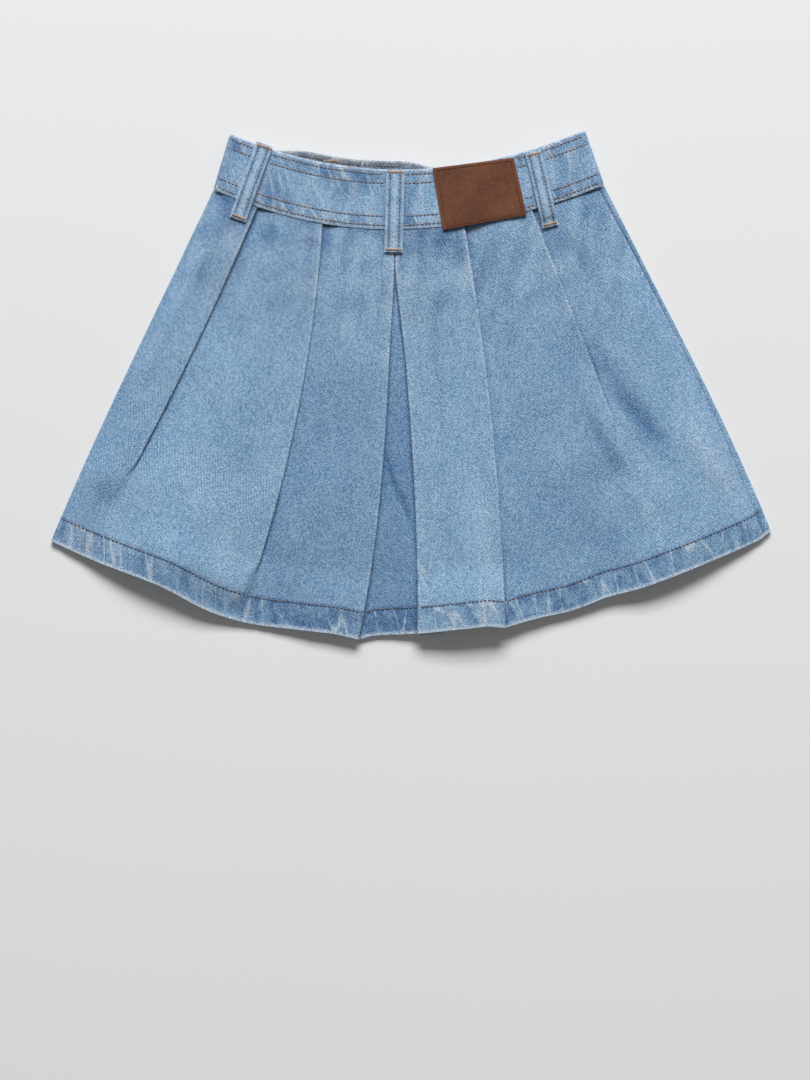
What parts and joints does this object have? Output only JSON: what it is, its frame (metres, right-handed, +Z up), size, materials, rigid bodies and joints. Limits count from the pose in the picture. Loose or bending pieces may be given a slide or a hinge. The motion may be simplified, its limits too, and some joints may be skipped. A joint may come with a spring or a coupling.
{
  "type": "pleated denim skirt",
  "caption": "Flared pleated denim mini skirt with a waistband, belt loops and a back patch, laid flat with its back up.",
  "frame": {"origin": "on the surface that the skirt lies on, under the middle of its overall length and width", "axes": "+X across the skirt to the right as its back is seen, +Y from the hem to the waist, +Z up from the surface through the front and then the back"},
  "size_m": [0.5054, 0.3562, 0.0172],
  "materials": {
    "denim": "light washed cotton twill, worn paler at folds and edges",
    "patch_leather": "matt brown leather, plain",
    "button_metal": "aged satin"
  },
  "bodies": {
    "root": {"back_panel": "denim", "front_left_panel": "denim", "front_right_panel": "denim", "waistband": "denim", "belt_loop_back_left": "denim", "belt_loop_back_centre": "denim", "belt_loop_back_right": "denim", "belt_loop_front_left": "denim", "belt_loop_front_right": "denim", "leather_patch": "patch_leather", "button": "button_metal"}
  },
  "joints": []
}
